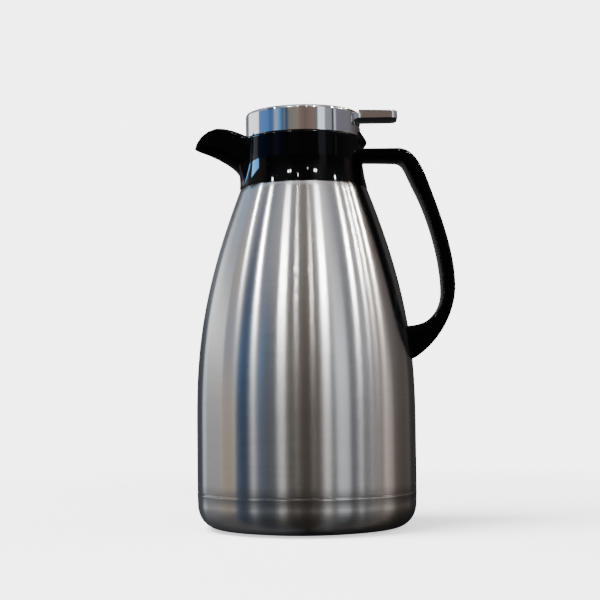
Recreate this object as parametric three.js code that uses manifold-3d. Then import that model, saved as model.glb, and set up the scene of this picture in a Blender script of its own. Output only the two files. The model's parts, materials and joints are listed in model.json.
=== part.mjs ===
// Vacuum coffee carafe with a pouring spout, a strap handle and a lever lid.
// Millimetres, +Z up. The origin is the centre of the face that the carafe stands on,
// the spout points to -X and the handle and the lid's lever to +X.

import * as THREE from 'three';
import * as BufferGeometryUtils from 'three/addons/utils/BufferGeometryUtils.js';
import ManifoldModule from 'manifold-3d';

const wasm = await ManifoldModule();
wasm.setup();

// ---- Driving dimensions -------------------------------------------------------------------

const GAP = 0.3; // clearance between pieces that touch
const AROUND = 36; // facets around the vessel
const AROUND_LID = 24; // facets around the stopper and what it holds
const AROUND_SMALL = 12; // facets around screws, pins and other small round pieces

// Steel vessel
const WALL = 0.7; // steel thickness
const BODY_R = 70.55;
const BASE_FOOT_R = 56; // where the base cup's curve starts
const BASE_FOOT_Z = 0.8;
const BASE_FLOOR_Z = 3.4; // underside of the base cup's floor, above the pad
const BASE_CURVE_TOP_Z = 17;
const SEAM_Z = 23.9; // ring seam between the base cup and the outer shell
const BODY_STRAIGHT_TOP_Z = 48.6;
const SHOULDER_R = 41.3; // where the shell meets the collar
const SHOULDER_Z = 219.4;
const NECK_R = 36.0;
const RIM_Z = 233.5; // top edge of the outer shell's neck
const VACUUM_GAP = 8.3; // from the outer shell's surface to the liner's surface
const LINER_FLOOR_Z = 14;

// Collar and spout
const COLLAR_BORE_R = 36.4;
const COLLAR_TOP_Z = 251.7;
const SPOUT_HALF_Y = 17; // half of the spout's width at its root
const SPOUT_TIP_X = -71.4;
const SPOUT_WALL = 2.2;
const SPOUT_FLOOR_Z = 242;
const BOSS_HALF_Y = 11; // lug on the rim above the handle

// Handle
const HANDLE_WIDTH = 24.7;
const HANDLE_SCREW_Z = 240.9;
const LUG_SCREW_X = 74.5;
const LUG_EAR_Z = 121; // underside of the lug's ear

// Lid
const CAP_R = 37.6;
const CAP_BOTTOM_Z = 252;
const CAP_TOP_Z = 268.5;
const CAP_WALL = 1.4;
const NOTCH_HALF_Y = 18.7;
const NOTCH_FRONT_X = 12.3;
const PLATE_R = 35.8; // the stopper's top plate, inside the cap's skirt
const PLATE_BOTTOM_Z = 250.6;
const PLATE_TOP_Z = 253;
const STOPPER_R = 28.4;
const STOPPER_BORE_R = 25.4;
const STOPPER_BOTTOM_Z = 209.5;
const SEAT_Z = 212;
const STOPPER_FLANGE_Z = 240.6;
const WINDOW_Z = 242.4;

// Quick thread between the neck insert and the stopper
const THREAD_LEAD = 24; // rise in one turn
const THREAD_STARTS = 3;
const THREAD_SWEEP = 1.75; // radians that each ridge covers
const MALE_RIDGE = { radius: 1.5, at: 28.6, low: 222.5 };
const FEMALE_RIDGE = { radius: 1.2, at: 30.7, low: 226 };

// Lever and valve
const PIVOT_X = 30;
const PIVOT_Z = 260;
const LEVER_TOP_Z = 268.4;
const ROOT_BOTTOM_Z = 261.2;
const TAB_TIP_X = 61.6;
const TAB_HALF_Y = 10;
const TAB_BOTTOM_Z = 264.4;
const TAB_TOP_Z = 270.1;
const ROOT_HALF_Y = NOTCH_HALF_Y - 0.4; // half the width of the lever's root and of its bracket
const STEM_R = 2.4;
const NOSE_R = 1.3; // rounded end of the lever's inner arm
const NOSE_Z = 255.9;

// ---- Materials ----------------------------------------------------------------------------

const material = (color, roughness, metalness) =>
  new THREE.MeshStandardMaterial({ color, roughness, metalness });

const BRUSHED_STEEL = material(0xb9babb, 0.32, 1);
const PLAIN_STEEL = material(0xa8aaac, 0.38, 1);
const CHROME = material(0xd6d8da, 0.08, 1);
const BLACK_GLOSS = material(0x101012, 0.12, 0);
const BLACK_PLASTIC = material(0x1b1b1d, 0.45, 0);
const RUBBER = material(0x161616, 0.85, 0);
const SILICONE = material(0xb9b4aa, 0.7, 0);
const GETTER = material(0x77797b, 0.6, 1);

// ---- Solid helpers ------------------------------------------------------------------------

function toSolid(geometry) {
  const bare = geometry.clone();
  bare.deleteAttribute('normal');
  bare.deleteAttribute('uv');
  const merged = BufferGeometryUtils.mergeVertices(bare, 1e-4);
  const corners = merged.index.array;
  const kept = [];
  for (let i = 0; i < corners.length; i += 3) {
    const [a, b, c] = [corners[i], corners[i + 1], corners[i + 2]];
    if (a !== b && b !== c && c !== a) kept.push(a, b, c);
  }
  const vertProperties = new Float32Array(merged.attributes.position.array);
  const triVerts = new Uint32Array(kept);
  return new wasm.Manifold(new wasm.Mesh({ numProp: 3, vertProperties, triVerts }));
}

function toGeometry(solid) {
  const mesh = solid.getMesh();
  const geometry = new THREE.BufferGeometry();
  geometry.setAttribute('position', new THREE.BufferAttribute(mesh.vertProperties, 3));
  geometry.setIndex(new THREE.BufferAttribute(mesh.triVerts, 1));
  geometry.computeVertexNormals();
  return geometry;
}

function join(...geometries) {
  return toGeometry(geometries.map(toSolid).reduce((whole, part) => whole.add(part)));
}

function cut(geometry, ...tools) {
  return toGeometry(tools.map(toSolid).reduce((whole, tool) => whole.subtract(tool), toSolid(geometry)));
}

function common(...geometries) {
  return toGeometry(geometries.map(toSolid).reduce((whole, part) => whole.intersect(part)));
}

// A solid of revolution about Z. Profile points are [radius, height].
function lathe(points, segments = AROUND) {
  const profile = points.map(([r, z]) => new THREE.Vector2(r, z));
  const startsOnAxis = points[0][0] === 0;
  if (!startsOnAxis) profile.push(profile[0].clone());
  if (THREE.ShapeUtils.area(profile) < 0) profile.reverse();
  const geometry = new THREE.LatheGeometry(profile, segments);
  geometry.rotateX(Math.PI / 2);
  return geometry;
}

function ring(innerR, outerR, lowZ, highZ, segments = AROUND) {
  return lathe([[innerR, lowZ], [outerR, lowZ], [outerR, highZ], [innerR, highZ]], segments);
}

function disc(radius, lowZ, highZ, segments = AROUND) {
  return lathe([[0, lowZ], [radius, lowZ], [radius, highZ], [0, highZ]], segments);
}

function box(lowX, highX, lowY, highY, lowZ, highZ) {
  const geometry = new THREE.BoxGeometry(highX - lowX, highY - lowY, highZ - lowZ);
  geometry.translate((lowX + highX) / 2, (lowY + highY) / 2, (lowZ + highZ) / 2);
  return geometry;
}

// An outline drawn in (x, z), given thickness along Y from -halfY to +halfY.
function slab(shape, halfY, bevel = 0, curveSegments = 6) {
  const geometry = new THREE.ExtrudeGeometry(shape, {
    depth: 2 * (halfY - bevel),
    curveSegments,
    bevelEnabled: bevel > 0,
    bevelThickness: bevel,
    bevelSize: bevel,
    bevelOffset: -bevel,
    bevelSegments: 1,
  });
  geometry.rotateX(Math.PI / 2);
  geometry.translate(0, halfY - bevel, 0);
  return geometry;
}

// An outline drawn in (x, y), given thickness along Z.
function plate(shape, lowZ, highZ, curveSegments = 6) {
  const geometry = new THREE.ExtrudeGeometry(shape, {
    depth: highZ - lowZ,
    curveSegments,
    bevelEnabled: false,
  });
  geometry.translate(0, 0, lowZ);
  return geometry;
}

function polygon(points) {
  return new THREE.Shape(points.map(([u, v]) => new THREE.Vector2(u, v)));
}

function alongX(geometry) {
  return geometry.rotateY(Math.PI / 2);
}

function alongY(geometry) {
  return geometry.rotateX(-Math.PI / 2);
}

class Helix extends THREE.Curve {
  constructor(radius, lead, startAngle, sweep, startZ) {
    super();
    Object.assign(this, { radius, lead, startAngle, sweep, startZ });
  }

  getPoint(t, target = new THREE.Vector3()) {
    const angle = this.startAngle + t * this.sweep;
    const z = this.startZ + (t * this.sweep * this.lead) / (2 * Math.PI);
    return target.set(this.radius * Math.cos(angle), this.radius * Math.sin(angle), z);
  }
}

function rod(curve, radius, sides, steps) {
  const section = new THREE.Shape();
  section.absarc(0, 0, radius, 0, 2 * Math.PI);
  return new THREE.ExtrudeGeometry(section, {
    steps,
    curveSegments: sides / 2,
    extrudePath: curve,
    bevelEnabled: false,
  });
}

function threadRidges({ radius, at, low }) {
  return Array.from({ length: THREAD_STARTS }, (_, start) => {
    const angle = (start * 2 * Math.PI) / THREAD_STARTS;
    return rod(new Helix(at, THREAD_LEAD, angle, THREAD_SWEEP, low), radius, 6, 7);
  });
}

// A screw standing on Z: head from headZ upwards when up is +1, shank the other way.
function screw(headR, headHeight, shankR, shankLength, up = 1) {
  const profile = [
    [0, -up * shankLength],
    [shankR, -up * shankLength],
    [shankR, 0],
    [headR, 0],
    [headR, up * headHeight],
    [0, up * headHeight],
  ];
  return lathe(profile, AROUND_SMALL);
}

const parts = new THREE.Group();

function add(group, name, geometry, look) {
  const mesh = new THREE.Mesh(geometry, look);
  mesh.name = name;
  group.add(mesh);
}

// ---- Vessel profile -----------------------------------------------------------------------

const baseCurve = new THREE.CubicBezierCurve(
  new THREE.Vector2(BASE_FOOT_R, BASE_FOOT_Z),
  new THREE.Vector2(BASE_FOOT_R + 8.2, BASE_FOOT_Z),
  new THREE.Vector2(BODY_R - 0.25, BASE_CURVE_TOP_Z - 9.6),
  new THREE.Vector2(BODY_R - 0.25, BASE_CURVE_TOP_Z),
);
const bodyCurve = new THREE.CubicBezierCurve(
  new THREE.Vector2(BODY_R, BODY_STRAIGHT_TOP_Z),
  new THREE.Vector2(BODY_R, BODY_STRAIGHT_TOP_Z + 48.3),
  new THREE.Vector2(SHOULDER_R + 31.4, SHOULDER_Z - 81.1),
  new THREE.Vector2(SHOULDER_R, SHOULDER_Z),
);
const curvePoints = (curve, divisions) => curve.getPoints(divisions).map((p) => [p.x, p.y]);
const inset = (points, amount) => points.map(([r, z]) => [r - amount, z]);
const bodyPoints = curvePoints(bodyCurve, 7);

// The body's outer surface, grown by an amount, as a cutter for what lies against it.
function bodyCutter(growth) {
  const outline = [[BODY_R + growth, SEAM_Z], ...inset(bodyPoints, -growth)];
  return lathe([[0, SEAM_Z], ...outline, [0, SHOULDER_Z]]);
}

// ---- Vessel pieces ------------------------------------------------------------------------

function basePad() {
  return lathe([[0, 0], [50.4, 0], [51.8, 1.4], [51.8, 3.1], [0, 3.1]]);
}

function baseCup() {
  const outside = curvePoints(baseCurve, 5);
  const inside = inset(outside, WALL).map(([r, z]) => [r, z + 0.3]);
  const lipR = BODY_R + 0.1;
  const flangeR = BODY_R - WALL - 0.5;
  const shell = lathe([
    [0, BASE_FLOOR_Z],
    [52.5, BASE_FLOOR_Z],
    [53.6, BASE_FOOT_Z],
    ...outside,
    [lipR, SEAM_Z - 0.8],
    [lipR, SEAM_Z - GAP],
    [flangeR, SEAM_Z - GAP],
    [flangeR, SEAM_Z + 4.5],
    [flangeR - WALL, SEAM_Z + 4.5],
    [flangeR - WALL, BASE_CURVE_TOP_Z + 1],
    ...inside.slice(1, -1).reverse(),
    [54.4, BASE_FLOOR_Z + WALL],
    [0, BASE_FLOOR_Z + WALL],
  ]);
  return cut(shell, disc(2.2, 0, 10, AROUND_SMALL));
}

function outerShell() {
  const shoulder = [
    [39.4, SHOULDER_Z + 1.2],
    [37.2, SHOULDER_Z + 2.4],
    [NECK_R, SHOULDER_Z + 4.4],
  ];
  const outside = [[BODY_R - 0.1, SEAM_Z + GAP], ...bodyPoints, ...shoulder, [NECK_R, RIM_Z]];
  const underShoulder = inset([bodyPoints.at(-1), ...shoulder], WALL).map(([r, z]) => [r, z - 0.5]);
  const inside = [
    ...inset([outside[0], ...bodyPoints.slice(0, -1)], WALL),
    ...underShoulder,
    [NECK_R - WALL, RIM_Z],
  ];
  return lathe([...outside, ...inside.reverse()]);
}

function innerLiner() {
  const r = BODY_R - VACUUM_GAP;
  const neckR = SHOULDER_R - VACUUM_GAP;
  const floor = [
    [0, LINER_FLOOR_Z - WALL],
    [r - 14, LINER_FLOOR_Z - WALL],
    [r - 5, LINER_FLOOR_Z + 2.2],
    [r, LINER_FLOOR_Z + 12],
  ];
  const flange = [[neckR, RIM_Z + GAP], [NECK_R, RIM_Z + GAP], [NECK_R, RIM_Z + 1]];
  const outside = [...floor, ...inset(bodyPoints, VACUUM_GAP), ...flange];
  const inside = [
    [neckR - WALL, RIM_Z + 1],
    ...inset(bodyPoints, VACUUM_GAP + WALL).reverse(),
    [r - WALL, LINER_FLOOR_Z + 12],
    [r - 5.4, LINER_FLOOR_Z + 2.8],
    [r - 14.2, LINER_FLOOR_Z],
    [0, LINER_FLOOR_Z],
  ];
  return lathe([...outside, ...inside]);
}

// Plug that closes the pump-out hole in the base cup after the air is drawn out.
function vacuumSeal() {
  const flangeZ = BASE_FLOOR_Z + WALL + GAP;
  return lathe([
    [0, BASE_FLOOR_Z],
    [1.8, BASE_FLOOR_Z],
    [1.8, flangeZ],
    [6, flangeZ],
    [5, flangeZ + 1.2],
    [0, flangeZ + 1.2],
  ], AROUND_SMALL);
}

// Gas-absorbing capsule in the vacuum space, under the liner's floor.
function getterCapsule() {
  return disc(8, BASE_FLOOR_Z + 1.2, BASE_FLOOR_Z + 4.6, AROUND_SMALL).translate(26, 0, 0);
}

// ---- Collar, spout and neck insert --------------------------------------------------------

// Side view of the spout's outside in (x, z): root, crown, drooping lip and underside.
function spoutSide() {
  const shape = new THREE.Shape();
  shape.moveTo(-30, COLLAR_TOP_Z);
  shape.lineTo(-38, COLLAR_TOP_Z);
  shape.quadraticCurveTo(-49, 257.8, -57.5, 258.5);
  shape.bezierCurveTo(-64.6, 257.6, -69.8, 251.6, SPOUT_TIP_X, 246.4);
  shape.bezierCurveTo(-62, 242.8, -50, 237.5, -41.4, 228.6);
  shape.quadraticCurveTo(-40.6, 225, -40.9, 222.6);
  shape.lineTo(-30, 222.6);
  return shape;
}

// Plan view of half the spout's width, tapering from the root to the rounded lip.
function spoutPlan(halfRoot, halfTip, tipX) {
  const shape = new THREE.Shape();
  shape.moveTo(-20, -halfRoot);
  shape.lineTo(-20, halfRoot);
  shape.lineTo(-37, halfRoot);
  shape.quadraticCurveTo(-46, halfRoot * 0.84, -58, halfRoot * 0.58);
  shape.quadraticCurveTo(tipX, halfTip * 1.5, tipX, 0);
  shape.quadraticCurveTo(tipX, -halfTip * 1.5, -58, -halfRoot * 0.58);
  shape.quadraticCurveTo(-46, -halfRoot * 0.84, -37, -halfRoot);
  return shape;
}

// Front view of the spout: straight sides with a rounded underside, drawn in (y, z).
function spoutFront(halfWidth, lowZ, highZ) {
  const shape = new THREE.Shape();
  shape.moveTo(-halfWidth, highZ);
  shape.absarc(0, lowZ + halfWidth, halfWidth, Math.PI, 2 * Math.PI);
  shape.lineTo(halfWidth, highZ);
  const depth = 60;
  const geometry = new THREE.ExtrudeGeometry(shape, { depth, bevelEnabled: false, curveSegments: 8 });
  return geometry.rotateX(Math.PI / 2).rotateZ(-Math.PI / 2).translate(-20, 0, 0);
}

function spoutCollar() {
  const wall = lathe([
    [41.6, SHOULDER_Z + 0.35],
    [41, 222.6],
    [39.6, 228.6],
    [38.7, 235.2],
    [38.7, 245],
    [38.5, COLLAR_TOP_Z],
    [COLLAR_BORE_R, COLLAR_TOP_Z],
    [COLLAR_BORE_R, SHOULDER_Z + 5],
    [37.7, SHOULDER_Z + 2.9],
    [39.7, SHOULDER_Z + 1.7],
    [41.2, SHOULDER_Z + 0.45],
  ]);
  const spout = common(
    slab(spoutSide(), SPOUT_HALF_Y + 3),
    plate(spoutPlan(SPOUT_HALF_Y, 3.4, SPOUT_TIP_X), 200, 280),
    spoutFront(SPOUT_HALF_Y + 0.2, 222, 280),
  );
  const trough = slab(
    polygon([[-34, SPOUT_FLOOR_Z], [-52, 243.6], [-70.2, 249], [-80, 275], [-34, 275]]),
    SPOUT_HALF_Y + 3,
  );
  const channelPlan = spoutPlan(SPOUT_HALF_Y - SPOUT_WALL, 1.9, SPOUT_TIP_X + SPOUT_WALL);
  const channel = common(trough, plate(channelPlan, 200, 280));
  const boss = slab(
    polygon([[36, 255.4], [38, 255.4], [41.7, 250.4], [41.3, 248.4], [38, 245.8], [36, 245.8]]),
    BOSS_HALF_Y,
  );
  const screwHole = alongX(disc(2.1, 30, 45, AROUND_SMALL)).translate(0, 0, HANDLE_SCREW_Z);
  const screwSink = alongX(disc(3.6, 30, 37.9, AROUND_SMALL)).translate(0, 0, HANDLE_SCREW_Z);
  const middle = disc(COLLAR_BORE_R + 1, 200, COLLAR_TOP_Z - 1);
  const capRoom = disc(CAP_R + 0.5, COLLAR_TOP_Z - 2, 300);
  const neckRoom = disc(40.2, 200, SHOULDER_Z + 6);
  const outside = cut(join(cut(spout, neckRoom), boss), middle, capRoom);
  return cut(join(wall, outside), channel, screwHole, screwSink);
}

// Ring between the steel rim and the insert's flange.
function neckGasket() {
  return ring(33.2, 35.9, RIM_Z + 1.3, RIM_Z + 2.5, AROUND_LID);
}

// Plastic sleeve in the steel neck, with the quick thread that the lid screws into.
function neckInsert() {
  const boreR = FEMALE_RIDGE.at + 0.1;
  const flangeZ = RIM_Z + 2.8;
  const sleeve = lathe([
    [boreR, 217],
    [32, 217],
    [32, flangeZ],
    [35.9, flangeZ],
    [35.9, flangeZ + 1.7],
    [boreR, flangeZ + 1.7],
  ], AROUND_LID);
  return join(sleeve, ...threadRidges(FEMALE_RIDGE));
}

// ---- Handle -------------------------------------------------------------------------------

function handleOutline() {
  const shape = new THREE.Shape();
  shape.moveTo(36, 244.4);
  shape.lineTo(62, 244.4);
  shape.bezierCurveTo(71, 244.4, 76.1, 235, 81.4, 220);
  shape.bezierCurveTo(89.2, 199.5, 96.9, 175, 96.9, 155);
  shape.bezierCurveTo(96.9, 137.6, 86, 117.8, 69.3, 107.8);
  shape.lineTo(62, 107.8);
  shape.lineTo(62, 129.1);
  shape.lineTo(67, 129.1);
  shape.bezierCurveTo(79, 129.4, 89, 138, 89, 150.1);
  shape.bezierCurveTo(89, 168, 84, 193.4, 75.7, 211.6);
  shape.lineTo(66.4, 231);
  shape.quadraticCurveTo(63.9, 236.6, 59.5, 237.1);
  shape.lineTo(36, 237.5);
  return shape;
}

function handle() {
  const strap = slab(handleOutline(), HANDLE_WIDTH / 2, 1.6, 7);
  const collarRoom = disc(38.7 + GAP, 234, 248);
  const screwBore = alongX(disc(1.9, 30, 54, AROUND_SMALL)).translate(0, 0, HANDLE_SCREW_Z);
  const lugPocket = join(
    box(60, 71.6, -7, 7, LUG_EAR_Z - 10, LUG_EAR_Z + 3),
    box(60, LUG_SCREW_X + 5, -7, 7, LUG_EAR_Z - 1.2, LUG_EAR_Z + 3),
  );
  const footBore = disc(2.3, LUG_EAR_Z - 4, 140, AROUND_SMALL).translate(LUG_SCREW_X, 0, 0);
  const footSink = disc(4, LUG_EAR_Z + 5, 140, AROUND_SMALL).translate(LUG_SCREW_X, 0, 0);
  return cut(strap, bodyCutter(GAP), collarRoom, screwBore, lugPocket, footBore, footSink);
}

// Machine screw from inside the collar wall into the handle's upper end.
function handleTopScrew() {
  return alongX(screw(3.1, 1.3, 1.6, 14, -1)).translate(37.7, 0, HANDLE_SCREW_Z);
}

// Steel lug welded to the shell; the handle's foot hides it.
function handleLug() {
  const weldPlate = box(60, 71, -6.5, 6.5, LUG_EAR_Z - 8.5, LUG_EAR_Z + 2);
  const ear = box(60, LUG_SCREW_X + 4, -6, 6, LUG_EAR_Z, LUG_EAR_Z + 2);
  const screwHole = disc(1.9, 110, 130, AROUND_SMALL).translate(LUG_SCREW_X, 0, 0);
  return cut(join(weldPlate, ear), bodyCutter(GAP), screwHole);
}

function handleFootScrew() {
  return screw(3.6, 2.2, 1.6, 8, 1).translate(LUG_SCREW_X, 0, LUG_EAR_Z + 5.3);
}

// ---- Stopper ------------------------------------------------------------------------------

const CAP_SCREW_ANGLES = [Math.PI, 1.31, -1.31];
const CAP_SCREW_RING_R = 22;
const capScrewPlaces = CAP_SCREW_ANGLES.map((a) => [
  CAP_SCREW_RING_R * Math.cos(a),
  CAP_SCREW_RING_R * Math.sin(a),
]);
const BRACKET_SCREW_PLACES = [[24, 9], [24, -9]];

function lidGasket() {
  return lathe([
    [30.7, 238.4],
    [33, 238.3],
    [35.2, 238.8],
    [35.2, 240.1],
    [30.7, 240.3],
  ], AROUND_LID);
}

function stopperBody() {
  const tube = lathe([
    [STOPPER_BORE_R, STOPPER_BOTTOM_Z],
    [STOPPER_R, STOPPER_BOTTOM_Z],
    [STOPPER_R, STOPPER_FLANGE_Z],
    [35.5, STOPPER_FLANGE_Z],
    [35.5, WINDOW_Z],
    [32.2, WINDOW_Z],
    [32.2, PLATE_BOTTOM_Z],
    [PLATE_R, PLATE_BOTTOM_Z],
    [PLATE_R, PLATE_TOP_Z],
    [2.8, PLATE_TOP_Z],
    [2.8, WINDOW_Z - 1],
    [4.8, WINDOW_Z - 1],
    [4.8, PLATE_BOTTOM_Z],
    [29.4, PLATE_BOTTOM_Z],
    [29.4, WINDOW_Z],
    [STOPPER_BORE_R, WINDOW_Z],
  ], AROUND_LID);
  const windows = [0, 1, 2].map((i) =>
    cut(
      box(-40, 40, -9, 9, WINDOW_Z + 0.3, PLATE_BOTTOM_Z - 0.3),
      disc(6, 230, 260, AROUND_SMALL),
    ).rotateZ((i * Math.PI) / 3),
  );
  const sealSeat = disc(4.9, PLATE_TOP_Z - 1.9, PLATE_TOP_Z + 1, AROUND_SMALL);
  const holes = [...capScrewPlaces, ...BRACKET_SCREW_PLACES].map(([x, y]) =>
    disc(1.5, 245, 260, AROUND_SMALL).translate(x, y, 0),
  );
  return cut(join(tube, ...threadRidges(MALE_RIDGE)), ...windows, sealSeat, ...holes);
}

// Lower end of the stopper, with the raised seat that the valve closes on.
function valveSeat() {
  return lathe([
    [13, STOPPER_BOTTOM_Z - 3.4],
    [STOPPER_R - 1, STOPPER_BOTTOM_Z - 3.4],
    [STOPPER_R, STOPPER_BOTTOM_Z - 2.4],
    [STOPPER_R, STOPPER_BOTTOM_Z - GAP],
    [STOPPER_BORE_R - GAP, STOPPER_BOTTOM_Z - GAP],
    [STOPPER_BORE_R - GAP, STOPPER_BOTTOM_Z + 1.4],
    [16, STOPPER_BOTTOM_Z + 1.4],
    [15, SEAT_Z],
    [13, SEAT_Z],
  ], AROUND_LID);
}

function stemSeal() {
  return ring(2.7, 4.6, PLATE_TOP_Z - 1.6, PLATE_TOP_Z - 0.1, AROUND_SMALL);
}

function capScrew([x, y]) {
  return screw(2.6, 1.5, 1.1, 10.5, -1).translate(x, y, 250.2);
}

function bracketScrew([x, y]) {
  return screw(2.4, 1.2, 1.1, 5.2, 1).translate(x, y, 255.7);
}

// ---- Cap, bracket and lever ---------------------------------------------------------------

function chromeCap() {
  const shell = lathe([
    [CAP_R - CAP_WALL, CAP_BOTTOM_Z],
    [CAP_R, CAP_BOTTOM_Z],
    [CAP_R, CAP_TOP_Z - 1.6],
    [CAP_R - 0.5, CAP_TOP_Z - 0.5],
    [CAP_R - 1.8, CAP_TOP_Z],
    [0, CAP_TOP_Z],
    [0, CAP_TOP_Z - 2],
    [CAP_R - CAP_WALL, CAP_TOP_Z - 2],
  ]);
  const bosses = capScrewPlaces.map(([x, y]) =>
    disc(3.2, PLATE_TOP_Z + GAP, CAP_TOP_Z - 1.5, AROUND_SMALL).translate(x, y, 0),
  );
  const bores = capScrewPlaces.map(([x, y]) =>
    disc(1.4, 250, 262.5, AROUND_SMALL).translate(x, y, 0),
  );
  const notch = box(NOTCH_FRONT_X, 45, -NOTCH_HALF_Y, NOTCH_HALF_Y, 250, 272);
  return cut(join(shell, ...bosses), notch, ...bores);
}

function leverPlan(halfY, tipX, corner) {
  const shape = new THREE.Shape();
  shape.moveTo(30, -halfY);
  shape.lineTo(tipX - corner, -halfY);
  shape.quadraticCurveTo(tipX, -halfY, tipX, -halfY + corner);
  shape.lineTo(tipX, halfY - corner);
  shape.quadraticCurveTo(tipX, halfY, tipX - corner, halfY);
  shape.lineTo(30, halfY);
  return shape;
}

function leverBracket() {
  const floorZ = PLATE_TOP_Z + GAP;
  const block = common(
    disc(CAP_R - 0.2, CAP_BOTTOM_Z + 0.2, 259),
    box(20, 45, -ROOT_HALF_Y, ROOT_HALF_Y, 250, 262),
  );
  const hollow = disc(34.8, floorZ + 2, 270);
  const plateRoom = disc(36.2, 250, floorZ);
  const ears = [1, -1].map((side) => {
    const shape = new THREE.Shape();
    shape.moveTo(26.2, floorZ);
    shape.lineTo(33.8, floorZ);
    shape.lineTo(33.2, PIVOT_Z);
    shape.absarc(PIVOT_X, PIVOT_Z, 3.2, 0, Math.PI);
    return slab(shape, 1.1, 0, 5).translate(0, side * 14.5, 0);
  });
  const pinBore = alongY(disc(1.8, -25, 25, AROUND_SMALL)).translate(PIVOT_X, 0, PIVOT_Z);
  const screwHoles = BRACKET_SCREW_PLACES.map(([x, y]) =>
    disc(1.5, 245, 260, AROUND_SMALL).translate(x, y, 0),
  );
  return cut(join(cut(block, hollow, plateRoom), ...ears), pinBore, ...screwHoles);
}

function leverPin() {
  return alongY(disc(1.5, -15.6, 15.6, AROUND_SMALL)).translate(PIVOT_X, 0, PIVOT_Z);
}

function lever() {
  const root = common(
    disc(CAP_R - 0.2, ROOT_BOTTOM_Z, LEVER_TOP_Z),
    box(NOTCH_FRONT_X + 0.4, 45, -ROOT_HALF_Y, ROOT_HALF_Y, 250, 280),
  );
  const pocket = box(15, 34.6, -16.1, 16.1, 255, 265.9);
  const tab = plate(leverPlan(TAB_HALF_Y, TAB_TIP_X, 4), TAB_BOTTOM_Z, TAB_TOP_Z);
  const tabTrim = box(25, 36.2, -30, 30, LEVER_TOP_Z, 280);
  const hub = slab(polygon([
    [25.6, 266.5],
    [25.6, 258.6],
    [27.5, 257.3],
    [31, 257.3],
    [31.8, 260.4],
    [35, 262.4],
    [35, 266.5],
  ]), 12.6);
  const arm = slab(polygon([
    [28, 261],
    [20, 260.6],
    [6, 257.2],
    [0.9, NOSE_Z + 0.9],
    [0, NOSE_Z + NOSE_R],
    [-0.9, NOSE_Z + 0.9],
    [-NOSE_R, NOSE_Z],
    [-0.9, NOSE_Z - 0.9],
    [0, NOSE_Z - NOSE_R],
    [22, 256.9],
    [28, 257.4],
  ]), 6.6);
  const forkSlot = box(-5, 5.5, -3, 3, 250, 262);
  const pinBore = alongY(disc(1.85, -14, 14, AROUND_SMALL)).translate(PIVOT_X, 0, PIVOT_Z);
  return cut(join(cut(root, pocket), cut(tab, tabTrim), hub, cut(arm, forkSlot)), pinBore);
}

// ---- Valve --------------------------------------------------------------------------------

const HEAD_Z = NOSE_Z + NOSE_R + 0.4; // underside of the stem's head, above the lever's nose

function valveStem() {
  return disc(STEM_R, SEAT_Z - 3.6, HEAD_Z + 2.6, AROUND_SMALL);
}

function stemClip() {
  return ring(STEM_R + GAP, 5.6, HEAD_Z, HEAD_Z + 1.8, AROUND_SMALL);
}

function valveDisc() {
  return lathe([
    [STEM_R + GAP, SEAT_Z + 2.3],
    [17, SEAT_Z + 2.3],
    [17, SEAT_Z + 4.4],
    [5.2, SEAT_Z + 5.4],
    [5.2, SEAT_Z + 8],
    [STEM_R + GAP, SEAT_Z + 8],
  ], AROUND_LID);
}

function valveWasher() {
  return ring(STEM_R + GAP, 16.4, SEAT_Z + 0.3, SEAT_Z + 2, AROUND_LID);
}

function valveNut() {
  const nut = new THREE.CylinderGeometry(4.4, 4.4, 2.6, 6);
  nut.rotateX(Math.PI / 2).translate(0, 0, SEAT_Z - 1.4);
  return cut(nut, disc(STEM_R + GAP, SEAT_Z - 6, SEAT_Z + 2, AROUND_SMALL));
}

const SPRING = { wire: 0.6, radius: 7.2, turns: 6, low: SEAT_Z + 6.6, high: PLATE_BOTTOM_Z - 0.9 };

function valveSpring() {
  const rise = SPRING.high - SPRING.low;
  const sweep = 2 * Math.PI * SPRING.turns;
  return rod(new Helix(SPRING.radius, rise / SPRING.turns, 0, sweep, SPRING.low), SPRING.wire, 6, 54);
}

// ---- Assembly -----------------------------------------------------------------------------

const vessel = new THREE.Group();
add(vessel, 'base_pad', basePad(), RUBBER);
add(vessel, 'base_cup', baseCup(), BRUSHED_STEEL);
add(vessel, 'vacuum_seal', vacuumSeal(), PLAIN_STEEL);
add(vessel, 'getter_capsule', getterCapsule(), GETTER);
add(vessel, 'outer_shell', outerShell(), BRUSHED_STEEL);
add(vessel, 'inner_liner', innerLiner(), PLAIN_STEEL);
add(vessel, 'spout_collar', spoutCollar(), BLACK_GLOSS);
add(vessel, 'neck_gasket', neckGasket(), SILICONE);
add(vessel, 'neck_insert', neckInsert(), BLACK_PLASTIC);
add(vessel, 'handle', handle(), BLACK_GLOSS);
add(vessel, 'handle_top_screw', handleTopScrew(), PLAIN_STEEL);
add(vessel, 'handle_lug', handleLug(), PLAIN_STEEL);
add(vessel, 'handle_foot_screw', handleFootScrew(), PLAIN_STEEL);

const lid = new THREE.Group();
add(lid, 'lid_gasket', lidGasket(), SILICONE);
add(lid, 'stopper_body', stopperBody(), BLACK_PLASTIC);
add(lid, 'valve_seat', valveSeat(), BLACK_PLASTIC);
add(lid, 'stem_seal', stemSeal(), SILICONE);
add(lid, 'chrome_cap', chromeCap(), CHROME);
capScrewPlaces.forEach((place, i) => add(lid, `cap_screw_${i + 1}`, capScrew(place), PLAIN_STEEL));
add(lid, 'lever_bracket', leverBracket(), CHROME);
BRACKET_SCREW_PLACES.forEach((place, i) =>
  add(lid, `bracket_screw_${i + 1}`, bracketScrew(place), PLAIN_STEEL),
);
add(lid, 'lever_pin', leverPin(), PLAIN_STEEL);
add(lid, 'lever', lever(), CHROME);

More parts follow.
